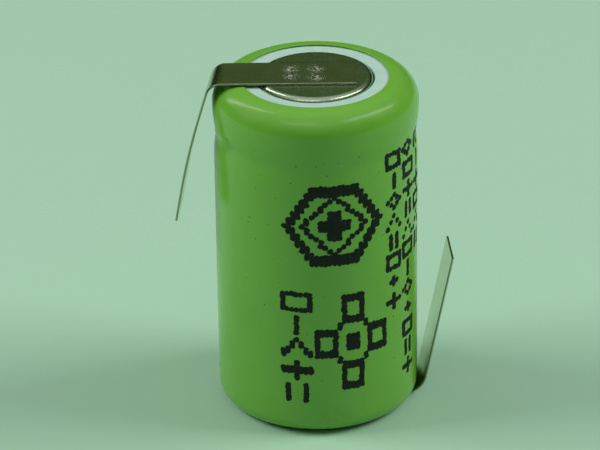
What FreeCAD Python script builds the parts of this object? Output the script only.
import FreeCAD, Part
import math
import os

import Sketcher

# A sleeved nickel-metal-hydride cell with two welded solder tags, standing on its
# negative end.  The origin is on the cell's axis in the plane of the lower tag, +Z up.
# The positive tag hangs towards -X and the negative tag rises towards +X.

# Driving dimensions in millimetres and degrees: alias, value, meaning.
SIZES = (
    ("cell_radius", 7.1, "outside of the sleeved barrel"),
    ("sleeve_wall", 0.1, "shrink sleeve thickness"),
    ("sleeve_top", 24.7, "height of the sleeve's top over the shoulder"),
    ("sleeve_top_hole", 5.17, "radius of the sleeve's opening at the top"),
    ("sleeve_foot_hole", 4.9, "radius of the sleeve's opening at the foot"),
    ("shoulder_round", 1.65, "outer rounding of the shoulder"),
    ("foot_round", 1.0, "outer rounding of the foot"),
    ("bead_height", 20.7, "height of the rolled bead's middle"),
    ("bead_round", 0.8, "radius of the bead's groove in the can"),
    ("dip_half", 0.75, "half height of the sleeve's dip over the bead"),
    ("dip_depth", 0.12, "depth of that dip"),
    ("can_wall", 0.3, "steel can thickness"),
    ("rim_hole", 5.1, "radius inside the can's crimped rim"),
    ("rim_round", 1.25, "outer rounding of the crimped rim"),
    ("washer_hole", 4.35, "radius of the white washer's hole"),
    ("washer_foot", 6.1, "radius of the washer's underside"),
    ("washer_thickness", 0.3, "thickness of the washer"),
    ("plate_top", 23.0, "height of the sealing plate's top"),
    ("plate_thickness", 0.6, "thickness of the sealing plate"),
    ("plate_radius", 6.2, "radius of the sealing plate"),
    ("port_radius", 0.6, "radius of the vent port in the plate"),
    ("gasket_foot", 21.8, "height of the gasket's underside"),
    ("gasket_hole", 5.4, "radius inside the gasket's foot"),
    ("cap_top", 24.8, "height of the positive cap's flat top"),
    ("cap_radius", 4.06, "outside of the cap"),
    ("cap_wall", 0.3, "cap thickness"),
    ("cap_round", 0.5, "rounding of the cap's edge"),
    ("flange_radius", 4.85, "radius of the cap's flange"),
    ("cap_vent_radius", 0.3, "radius of each hole in the cap's side"),
    ("cap_vent_height", 23.75, "height of those holes"),
    ("rubber_radius", 1.5, "radius of the vent's rubber disc"),
    ("rubber_thickness", 0.5, "thickness of the rubber disc"),
    ("valve_radius", 1.4, "radius of the vent's steel plate"),
    ("valve_thickness", 0.15, "thickness of that plate"),
    ("spring_radius", 1.0, "mean radius of the vent spring"),
    ("spring_wire", 0.2, "diameter of the spring wire"),
    ("spring_pitch", 0.29, "rise of one turn of the spring"),
    ("tag_thickness", 0.15, "nickel strip thickness"),
    ("tag_width", 3.5, "nickel strip width"),
    ("tag_back", 2.84, "length of strip past the axis, to its square end"),
    ("split_gap", 0.04, "half the gap between a tag's pad and its arm"),
    ("upper_bend_start", 6.3, "distance from the axis to the positive tag's bend"),
    ("upper_bend_inner", 1.025, "inner radius of that bend"),
    ("upper_turn", 76.6, "degrees that it turns through"),
    ("upper_straight", 9.9, "straight length of the positive arm"),
    ("lower_bend_start", 6.1, "distance from the axis to the negative tag's bend"),
    ("lower_bend_inner", 1.455, "inner radius of that bend"),
    ("lower_turn", 78.8, "degrees that it turns through"),
    ("lower_straight", 9.7, "straight length of the negative arm"),
    ("lower_yaw", 4.3, "degrees that the negative tag is turned about the axis"),
    ("step_start", 4.0, "where the negative tag steps down to clear the sleeve's lip"),
    ("step_end", 4.5, "where that step ends"),
    ("pit_radius", 0.3, "radius of a spot weld's pit"),
    ("pit_depth", 0.04, "depth of a pit"),
    ("pit_middle", 0.75, "distance of the weld's middle from the axis"),
    ("pit_half_x", 0.75, "half the pits' spacing along the strip"),
    ("pit_half_y", 0.6, "half the pits' spacing across it"),
    ("roll_core", 0.95, "start radius of the wound roll"),
    ("roll_pitch", 1.2, "thickness of one turn of the roll"),
    ("roll_half_turns", 8, "half turns in the roll"),
    ("separator_wall", 0.14, "separator thickness"),
    ("positive_wall", 0.56, "positive electrode thickness"),
    ("negative_wall", 0.36, "negative electrode thickness"),
    ("separator_foot", 1.62, "height of the separators' lower edge"),
    ("separator_head", 19.5, "height of the separators' upper edge"),
    ("electrode_foot", 1.9, "height of the electrodes' lower edge"),
    ("electrode_head", 19.2, "height of the electrodes' upper edge"),
    ("foot_disc_radius", 5.2, "radius of the bottom insulating disc"),
    ("foot_disc_thickness", 0.6, "thickness of the bottom insulating disc"),
    ("head_disc_radius", 6.2, "radius of the upper insulating disc"),
    ("head_disc_hole", 2.8, "radius of that disc's hole"),
    ("head_disc_thickness", 0.2, "thickness of the upper insulating disc"),
    ("lead_place", 2.15, "distance from the axis to the positive lead"),
    ("lead_thickness", 0.12, "thickness of the lead"),
    ("lead_width", 2.0, "width of the lead"),
    ("lead_round", 0.5, "outer radius of the lead's bend"),
    ("lead_reach", 4.6, "distance from the axis to the lead's welded end"),
)

doc = FreeCAD.newDocument("battery_cell")
sheet = doc.addObject("Spreadsheet::Sheet", "Sizes")
for row, (alias, number, meaning) in enumerate(SIZES, start=1):
    sheet.set("A%d" % row, meaning)
    sheet.set("B%d" % row, str(number))
    sheet.setAlias("B%d" % row, alias)
doc.recompute()

# Lengths that follow from the driving dimensions, as expressions on the sheet.
CAN_RADIUS = "(Sizes.cell_radius - Sizes.sleeve_wall)"
CAN_INSIDE = "(Sizes.cell_radius - Sizes.sleeve_wall - Sizes.can_wall)"
CAN_FOOT = "(Sizes.tag_thickness + Sizes.sleeve_wall)"
CAN_FLOOR = "(Sizes.tag_thickness + Sizes.sleeve_wall + Sizes.can_wall)"
SHOULDER_FOOT = "(Sizes.sleeve_top - Sizes.shoulder_round)"
WASHER_TOP = "(Sizes.sleeve_top - Sizes.sleeve_wall)"
RIM_TOP = "(Sizes.sleeve_top - Sizes.sleeve_wall - Sizes.washer_thickness)"
RIM_UNDER = "(%s - Sizes.can_wall)" % RIM_TOP
PLATE_UNDER = "(Sizes.plate_top - Sizes.plate_thickness)"
CAP_UNDER = "(Sizes.cap_top - Sizes.cap_wall)"
VALVE_FOOT = "(Sizes.plate_top + Sizes.rubber_thickness)"
VALVE_TOP = "(Sizes.plate_top + Sizes.rubber_thickness + Sizes.valve_thickness)"


def value(expression):
    """The number that an expression on the sheet gives."""
    return float(sheet.evalExpression(expression))


def origin_feature(body, role):
    """One of a body's own origin planes or axes, found by its role."""
    return next(item for item in body.Origin.OriginFeatures if item.Role == role)


def new_body(label):
    body = doc.addObject("PartDesign::Body", label)
    body.Label = label
    return body


def new_sketch(body, role, height=None):
    """A sketch on one of the body's origin planes, raised along the plane's normal."""
    sketch = body.newObject("Sketcher::SketchObject", body.Label + "_sketch")
    sketch.AttachmentSupport = [(origin_feature(body, role), "")]
    sketch.MapMode = "FlatFace"
    if height is not None:
        sketch.setExpression("AttachmentOffset.Base.z", height)
    return sketch


def bind(sketch, kind, point, expression):
    """Hold one coordinate of a sketch point to an expression on the sheet."""
    number = value(expression)
    if abs(number) < 1e-9:
        axis = -2 if kind == "DistanceX" else -1
        sketch.addConstraint(Sketcher.Constraint("PointOnObject", *point, axis))
        return
    index = sketch.addConstraint(Sketcher.Constraint(kind, -1, 1, *point, number))
    sketch.setExpression("Constraints[%d]" % index, expression)


def arc_between(start, end, radius, side):
    """The minor arc from start to end: side 1 turns left on the way, -1 turns right."""
    chord = end - start
    reach = math.sqrt(radius ** 2 - chord.Length ** 2 / 4)
    left = FreeCAD.Vector(-chord.y, chord.x, 0).normalize()
    centre = (start + end) / 2 + left * (side * reach)
    first, last = (start, end) if side > 0 else (end, start)
    angles = [math.atan2(p.y - centre.y, p.x - centre.x) for p in (first, last)]
    if angles[1] < angles[0]:
        angles[1] += 2 * math.pi
    circle = Part.Circle(centre, FreeCAD.Vector(0, 0, 1), radius)
    return Part.ArcOfCircle(circle, *angles)


def draw_outline(sketch, corners):
    """A closed outline: each corner is (x, y), or (x, y, radius, side) reached by an arc."""
    places = [FreeCAD.Vector(value(c[0]), value(c[1]), 0) for c in corners]
    ends = []
    for number, corner in enumerate(corners):
        start, end = places[number - 1], places[number]
        if len(corner) == 2:
            edge = sketch.addGeometry(Part.LineSegment(start, end))
            ends.append((edge, 1, 2))
            continue
        radius, side = corner[2:]
        edge = sketch.addGeometry(arc_between(start, end, value(radius), side))
        ends.append((edge, 1, 2) if side > 0 else (edge, 2, 1))
    for number, (edge, first, last) in enumerate(ends):
        before = ends[number - 1]
        joined = (before[0], before[2], edge, first)
        sketch.addConstraint(Sketcher.Constraint("Coincident", *joined))
    for corner, (edge, first, last) in zip(corners, ends):
        bind(sketch, "DistanceX", (edge, last), corner[0])
        bind(sketch, "DistanceY", (edge, last), corner[1])
        if len(corner) == 4:
            index = sketch.addConstraint(Sketcher.Constraint("Radius", edge, value(corner[2])))
            sketch.setExpression("Constraints[%d]" % index, corner[2])


def draw_circle(sketch, x, y, radius):
    centre = FreeCAD.Vector(value(x), value(y), 0)
    circle = Part.Circle(centre, FreeCAD.Vector(0, 0, 1), value(radius))
    edge = sketch.addGeometry(circle)
    bind(sketch, "DistanceX", (edge, 3), x)
    bind(sketch, "DistanceY", (edge, 3), y)
    index = sketch.addConstraint(Sketcher.Constraint("Radius", edge, value(radius)))
    sketch.setExpression("Constraints[%d]" % index, radius)


def turned(label, corners):
    """A piece turned about the cell's axis from a half section in X and Z."""
    body = new_body(label)
    sketch = new_sketch(body, "XZ_Plane")
    draw_outline(sketch, corners)
    revolution = body.newObject("PartDesign::Revolution", label + "_turn")
    revolution.Profile = sketch
    revolution.ReferenceAxis = (sketch, ["V_Axis"])
    revolution.Angle = 360
    return body


def disc(label, radius, foot, top, hole="0"):
    """A flat round piece, with or without a round hole."""
    return turned(label, ((hole, foot), (radius, foot), (radius, top), (hole, top)))


def strip(label, corners, width):
    """A piece of strip: its edge outline in X and Z, padded evenly to both sides of Y = 0."""
    body = new_body(label)
    sketch = new_sketch(body, "XZ_Plane")
    draw_outline(sketch, corners)
    pad = body.newObject("PartDesign::Pad", label + "_pad")
    pad.Profile = sketch
    pad.SideType = "Symmetric"
    pad.setExpression("Length", width)
    return body


def cut(body, sketch, depth=None, upward=False):
    """Pocket a sketch into its body, and make sure that it took material away."""
    doc.recompute()
    before = body.Shape.Volume
    pocket = body.newObject("PartDesign::Pocket", body.Label + "_pocket")
    pocket.Profile = sketch
    pocket.Reversed = upward
    if depth is None:
        pocket.Type = "ThroughAll"
    else:
        pocket.setExpression("Length", depth)
    doc.recompute()
    if body.Shape.Volume >= before:
        raise ValueError(body.Label + ": the pocket cut nothing")
    return pocket


def weld_pits(body, side, face, upward):
    """Four spot-weld pits, two by two, in a tag's outer face."""
    sketch = new_sketch(body, "XY_Plane", face)
    for x_side in (-1, 1):
        for y_side in (-1, 1):
            x = "%d * (Sizes.pit_middle + %d * Sizes.pit_half_x)" % (side, x_side)
            draw_circle(sketch, x, "%d * Sizes.pit_half_y" % y_side, "Sizes.pit_radius")
    cut(body, sketch, "Sizes.pit_depth", upward)


# ---- can, sleeve and washer ----


def make_can():
    """Deep-drawn cup with a rolled bead below the seal and a rim crimped over it."""
    inner_bead = "(Sizes.bead_round + Sizes.can_wall)"
    inner_foot = "(Sizes.foot_round - Sizes.sleeve_wall - Sizes.can_wall)"
    foot_centre = "(%s - Sizes.foot_round + Sizes.sleeve_wall)" % CAN_RADIUS
    foot_height = "(%s + Sizes.foot_round - Sizes.sleeve_wall)" % CAN_FOOT
    rim_centre = "(%s - Sizes.rim_round)" % CAN_RADIUS
    rim_height = "(%s - Sizes.rim_round)" % RIM_TOP
    rim_inner = "(Sizes.rim_round - Sizes.can_wall)"
    reach = "sqrt(%s ^ 2 - Sizes.can_wall ^ 2)" % inner_bead
    return turned("steel_can", (
        ("0", CAN_FOOT),
        (foot_centre, CAN_FOOT),
        (CAN_RADIUS, foot_height, "Sizes.foot_round - Sizes.sleeve_wall", 1),
        (CAN_RADIUS, "Sizes.bead_height - Sizes.bead_round"),
        (CAN_RADIUS + " - Sizes.bead_round", "Sizes.bead_height", "Sizes.bead_round", -1),
        (CAN_RADIUS, "Sizes.bead_height + Sizes.bead_round", "Sizes.bead_round", -1),
        (CAN_RADIUS, rim_height),
        (rim_centre, RIM_TOP, "Sizes.rim_round", 1),
        ("Sizes.rim_hole", RIM_TOP),
        ("Sizes.rim_hole", RIM_UNDER),
        (rim_centre, RIM_UNDER),
        (CAN_INSIDE, rim_height, rim_inner, -1),
        (CAN_INSIDE, "Sizes.bead_height + " + reach),
        (CAN_RADIUS + " - " + inner_bead, "Sizes.bead_height", inner_bead, 1),
        (CAN_INSIDE, "Sizes.bead_height - " + reach, inner_bead, 1),
        (CAN_INSIDE, foot_height),
        (foot_centre, CAN_FLOOR, inner_foot, -1),
        ("0", CAN_FLOOR),
    ))


def make_sleeve():
    """Shrink sleeve: folded in over both ends and drawn slightly into the bead."""
    dip = "(Sizes.dip_half ^ 2 + Sizes.dip_depth ^ 2) / (2 * Sizes.dip_depth)"
    foot_centre = "(Sizes.cell_radius - Sizes.foot_round)"
    foot_height = "(Sizes.tag_thickness + Sizes.foot_round)"
    top_centre = "(Sizes.cell_radius - Sizes.shoulder_round)"
    return turned("shrink_sleeve", (
        ("Sizes.sleeve_foot_hole", "Sizes.tag_thickness"),
        (foot_centre, "Sizes.tag_thickness"),
        ("Sizes.cell_radius", foot_height, "Sizes.foot_round", 1),
        ("Sizes.cell_radius", "Sizes.bead_height - Sizes.dip_half"),
        ("Sizes.cell_radius", "Sizes.bead_height + Sizes.dip_half", dip, -1),
        ("Sizes.cell_radius", SHOULDER_FOOT),
        (top_centre, "Sizes.sleeve_top", "Sizes.shoulder_round", 1),
        ("Sizes.sleeve_top_hole", "Sizes.sleeve_top"),
        ("Sizes.sleeve_top_hole", WASHER_TOP),
        (top_centre, WASHER_TOP),
        (CAN_RADIUS, SHOULDER_FOOT, "Sizes.shoulder_round - Sizes.sleeve_wall", -1),
        (CAN_RADIUS, "Sizes.bead_height + Sizes.dip_half"),
        (CAN_RADIUS, "Sizes.bead_height - Sizes.dip_half", dip, 1),
        (CAN_RADIUS, foot_height),
        (foot_centre, CAN_FOOT, "Sizes.foot_round - Sizes.sleeve_wall", -1),
        ("Sizes.sleeve_foot_hole", CAN_FOOT),
    ))


def make_washer():
    """White insulating washer on the crimped rim, its outer edge bevelled under the sleeve."""
    return turned("top_washer", (
        ("Sizes.washer_hole", RIM_TOP),
        ("Sizes.washer_foot", RIM_TOP),
        ("Sizes.cell_radius - Sizes.shoulder_round", WASHER_TOP),
        ("Sizes.washer_hole", WASHER_TOP),
    ))


# ---- seal, cap and vent ----


def make_gasket():
    """Nylon ring that wraps the sealing plate's edge inside the crimped rim."""
    rim_height = "(%s - Sizes.rim_round)" % RIM_TOP
    return turned("sealing_gasket", (
        ("Sizes.gasket_hole", "Sizes.gasket_foot"),
        (CAN_INSIDE, "Sizes.gasket_foot"),
        (CAN_INSIDE, rim_height),
        (CAN_RADIUS + " - Sizes.rim_round", RIM_UNDER, "Sizes.rim_round - Sizes.can_wall", 1),
        ("Sizes.rim_hole", RIM_UNDER),
        ("Sizes.rim_hole", "Sizes.plate_top"),
        ("Sizes.plate_radius", "Sizes.plate_top"),
        ("Sizes.plate_radius", PLATE_UNDER),
        ("Sizes.gasket_hole", PLATE_UNDER),
    ))


def make_cap():
    """Flat-topped steel cap with a flange and three gas holes in its side."""
    inside = "(Sizes.cap_radius - Sizes.cap_wall)"
    flange_top = "(Sizes.plate_top + Sizes.cap_wall)"
    body = turned("positive_cap", (
        (inside, "Sizes.plate_top"),
        ("Sizes.flange_radius", "Sizes.plate_top"),
        ("Sizes.flange_radius", flange_top),
        ("Sizes.cap_radius", flange_top),
        ("Sizes.cap_radius", "Sizes.cap_top - Sizes.cap_round"),
        ("Sizes.cap_radius - Sizes.cap_round", "Sizes.cap_top", "Sizes.cap_round", 1),
        ("0", "Sizes.cap_top"),
        ("0", CAP_UNDER),
        (inside, CAP_UNDER),
    ))
    sketch = new_sketch(body, "XZ_Plane")
    draw_circle(sketch, "0", "Sizes.cap_vent_height", "Sizes.cap_vent_radius")
    hole = cut(body, sketch)
    ring = body.newObject("PartDesign::PolarPattern", "cap_vent_ring")
    ring.Originals = [hole]
    ring.Axis = (origin_feature(body, "Z_Axis"), [""])
    ring.Angle = 360
    ring.Occurrences = 3
    body.Tip = ring
    return body


def make_spring():
    """Coil spring between the vent plate and the cap."""
    body = new_body("vent_spring")
    sketch = new_sketch(body, "XZ_Plane")
    half_wire = "Sizes.spring_wire / 2"
    draw_circle(sketch, "Sizes.spring_radius", VALVE_TOP + " + " + half_wire, half_wire)
    helix = body.newObject("PartDesign::AdditiveHelix", "vent_spring_coil")
    helix.Profile = sketch
    helix.ReferenceAxis = (sketch, ["V_Axis"])
    helix.Mode = "pitch-height-angle"
    helix.setExpression("Pitch", "Sizes.spring_pitch")
    helix.setExpression("Height", "%s - %s - Sizes.spring_wire" % (CAP_UNDER, VALVE_TOP))
    return body


def make_seal_and_vent():
    return [
        make_gasket(),
        disc("sealing_plate", "Sizes.plate_radius", PLATE_UNDER, "Sizes.plate_top",
             "Sizes.port_radius"),
        make_cap(),
        disc("vent_rubber_disc", "Sizes.rubber_radius", "Sizes.plate_top", VALVE_FOOT),
        disc("vent_plate", "Sizes.valve_radius", VALVE_FOOT, VALVE_TOP),
        make_spring(),
    ]


# ---- wound roll and its insulation ----


def half_ring(centre, radius, lower):
    """A half circle in the XY plane over the upper or the lower side of the X axis."""
    side = -1 if lower else 1
    ends = [centre + FreeCAD.Vector(x * radius, 0, 0) for x in (1, -1)]
    middle = centre + FreeCAD.Vector(0, side * radius, 0)
    if lower:
        ends.reverse()
    return Part.Arc(ends[0], middle, ends[1]).toShape()


def wound(label, inside, wall, foot, head):
    """One layer of the roll, from half rings centred in turn a quarter pitch each side.

    Each half ring is half a pitch larger than the one before, so the arcs meet end to
    end and every layer lies on the one inside it.
    """
    pitch = value("Sizes.roll_pitch")
    low = value(foot)
    edges = []
    for offset in (inside, inside + wall):
        for turn in range(int(value("Sizes.roll_half_turns"))):
            lower = turn % 2 == 1
            centre = FreeCAD.Vector(pitch / 4 if lower else -pitch / 4, 0, low)
            radius = value("Sizes.roll_core") + offset + turn * pitch / 2
            edges.append(half_ring(centre, radius, lower))
    half = len(edges) // 2
    ends = (
        (edges[0].firstVertex(), edges[half].firstVertex()),
        (edges[half - 1].lastVertex(), edges[-1].lastVertex()),
    )
    closing = [Part.LineSegment(a.Point, b.Point).toShape() for a, b in ends]
    wire = Part.Wire(Part.__sortEdges__(edges + closing))
    height = FreeCAD.Vector(0, 0, value(head) - low)
    piece = doc.addObject("Part::Feature", label)
    piece.Label = label
    piece.Shape = Part.Face(wire).extrude(height)
    return piece


def make_roll():
    """Separator, positive, separator, negative: the negative ends up outermost."""
    edges = {
        "separator": ("Sizes.separator_foot", "Sizes.separator_head"),
        "electrode": ("Sizes.electrode_foot", "Sizes.electrode_head"),
    }
    layers = (
        ("separator_inner", "Sizes.separator_wall", "separator"),
        ("positive_electrode", "Sizes.positive_wall", "electrode"),
        ("separator_outer", "Sizes.separator_wall", "separator"),
        ("negative_electrode", "Sizes.negative_wall", "electrode"),
    )
    pieces = []
    inside = 0.0
    for label, wall, kind in layers:
        pieces.append(wound(label, inside, value(wall), *edges[kind]))
        inside += value(wall)
    return pieces


def make_lead():
    """Nickel lead: up from the positive electrode's edge, then out under the plate."""
    far = "(Sizes.lead_place + Sizes.lead_thickness)"
    turn_x = "(Sizes.lead_place + Sizes.lead_round)"
    turn_z = "(%s - Sizes.lead_round)" % PLATE_UNDER
    under = "(%s - Sizes.lead_thickness)" % PLATE_UNDER
    return strip("positive_lead", (
        ("Sizes.lead_place", "Sizes.electrode_head"),
        (far, "Sizes.electrode_head"),
        (far, turn_z),
        (turn_x, under, "Sizes.lead_round - Sizes.lead_thickness", -1),
        ("Sizes.lead_reach", under),
        ("Sizes.lead_reach", PLATE_UNDER),
        (turn_x, PLATE_UNDER),
        ("Sizes.lead_place", turn_z, "Sizes.lead_round", 1),
    ), "Sizes.lead_width")


def make_insulation():
    foot_top = "%s + Sizes.foot_disc_thickness" % CAN_FLOOR
    head_top = "Sizes.separator_head + Sizes.head_disc_thickness"
    return [
        disc("bottom_insulating_disc", "Sizes.foot_disc_radius", CAN_FLOOR, foot_top),
        disc("upper_insulating_disc", "Sizes.head_disc_radius", "Sizes.separator_head",
             head_top, "Sizes.head_disc_hole"),
    ]


# ---- solder tags ----


def bend_point(end, which, angle, out=0):
    """A point on a tag's bend as expressions, at an angle from the bend's start.

    end is "upper" or "lower", which is "inner" or "outer", and out is a length of
    straight strip that follows.  The upper bend turns down on the -X side and the
    lower one turns up on the +X side.
    """
    inner = "Sizes.%s_bend_inner" % end
    radius = inner if which == "inner" else "(%s + Sizes.tag_thickness)" % inner
    x = "Sizes.%s_bend_start + %s * sin(%s) + %s * cos(%s)" % (end, radius, angle, out, angle)
    drop = "%s * cos(%s) - %s * sin(%s)" % (radius, angle, out, angle)
    if end == "upper":
        return "-(%s)" % x, "Sizes.cap_top - %s + (%s)" % (inner, drop)
    return x, "Sizes.tag_thickness + %s - (%s)" % (inner, drop)


def bend_radii(end):
    inner = "Sizes.%s_bend_inner" % end
    return inner, "%s + Sizes.tag_thickness" % inner


def half_turn(end, side):
    """Half the bend's angle, less or plus the gap that parts the pad from the arm."""
    middle = "(Sizes.%s_bend_inner + Sizes.tag_thickness / 2)" % end
    gap = "Sizes.split_gap / %s * 180 / pi" % middle
    return "(Sizes.%s_turn / 2 %s %s)" % (end, side, gap)


def make_tag_arm(end, label):
    """The free arm: the second half of the bend and the straight lug."""
    inner, outer = bend_radii(end)
    start = half_turn(end, "+")
    turn = "Sizes.%s_turn" % end
    straight = "Sizes.%s_straight" % end
    return strip(label, (
        bend_point(end, "outer", start),
        bend_point(end, "outer", turn) + (outer, 1),
        bend_point(end, "outer", turn, straight),
        bend_point(end, "inner", turn, straight),
        bend_point(end, "inner", turn),
        bend_point(end, "inner", start) + (inner, -1),
    ), "Sizes.tag_width")


def make_positive_pad():
    """The welded end of the positive tag: across the cap and into the first half bend."""
    inner, outer = bend_radii("upper")
    last = half_turn("upper", "-")
    face = "(Sizes.cap_top + Sizes.tag_thickness)"
    body = strip("positive_tag_pad", (
        ("Sizes.tag_back", "Sizes.cap_top"),
        ("Sizes.tag_back", face),
        ("-Sizes.upper_bend_start", face),
        bend_point("upper", "outer", last) + (outer, 1),
        bend_point("upper", "inner", last),
        ("-Sizes.upper_bend_start", "Sizes.cap_top", inner, -1),
    ), "Sizes.tag_width")
    weld_pits(body, 1, face, False)
    return body


def make_negative_pad():
    """The welded end of the negative tag: raised to the can's foot, stepped down past
    the sleeve's lip, then into the first half bend."""
    inner, outer = bend_radii("lower")
    last = half_turn("lower", "-")
    body = strip("negative_tag_pad", (
        ("-Sizes.tag_back", "Sizes.sleeve_wall"),
        ("Sizes.step_start", "Sizes.sleeve_wall"),
        ("Sizes.step_end", "0"),
        ("Sizes.lower_bend_start", "0"),
        bend_point("lower", "outer", last) + (outer, 1),
        bend_point("lower", "inner", last),
        ("Sizes.lower_bend_start", "Sizes.tag_thickness", inner, -1),
        ("Sizes.step_end", "Sizes.tag_thickness"),
        ("Sizes.step_start", CAN_FOOT),
        ("-Sizes.tag_back", CAN_FOOT),
    ), "Sizes.tag_width")
    weld_pits(body, -1, "Sizes.sleeve_wall", True)
    return body


def make_tags():
    upper = [make_positive_pad(), make_tag_arm("upper", "positive_tag_arm")]
    lower = [make_negative_pad(), make_tag_arm("lower", "negative_tag_arm")]
    for body in lower:
        body.setExpression("Placement.Rotation.Angle", "Sizes.lower_yaw")
    return upper + lower


def write(pieces):
    """Check every object and every piece, then write one STEP file for each piece."""
    for item in doc.Objects:
        if "Invalid" in item.State or "Error" in item.State:
            raise ValueError("%s: %s" % (item.Label, item.State))
    for piece in pieces:
        shape = piece.Shape
        if shape.isNull() or not shape.isValid() or len(shape.Solids) != 1:
            raise ValueError(piece.Label + " isn't one valid solid")
    os.makedirs("parts", exist_ok=True)
    for piece in pieces:
        piece.Shape.exportStep("parts/%s.step" % piece.Label)
        print("%-24s %9.3f mm3" % (piece.Label, piece.Shape.Volume))


pieces = [make_can(), make_sleeve(), make_washer()]
pieces += make_seal_and_vent()
pieces += make_roll()
pieces.append(make_lead())
pieces += make_insulation()
pieces += make_tags()
doc.recompute()
write(pieces)
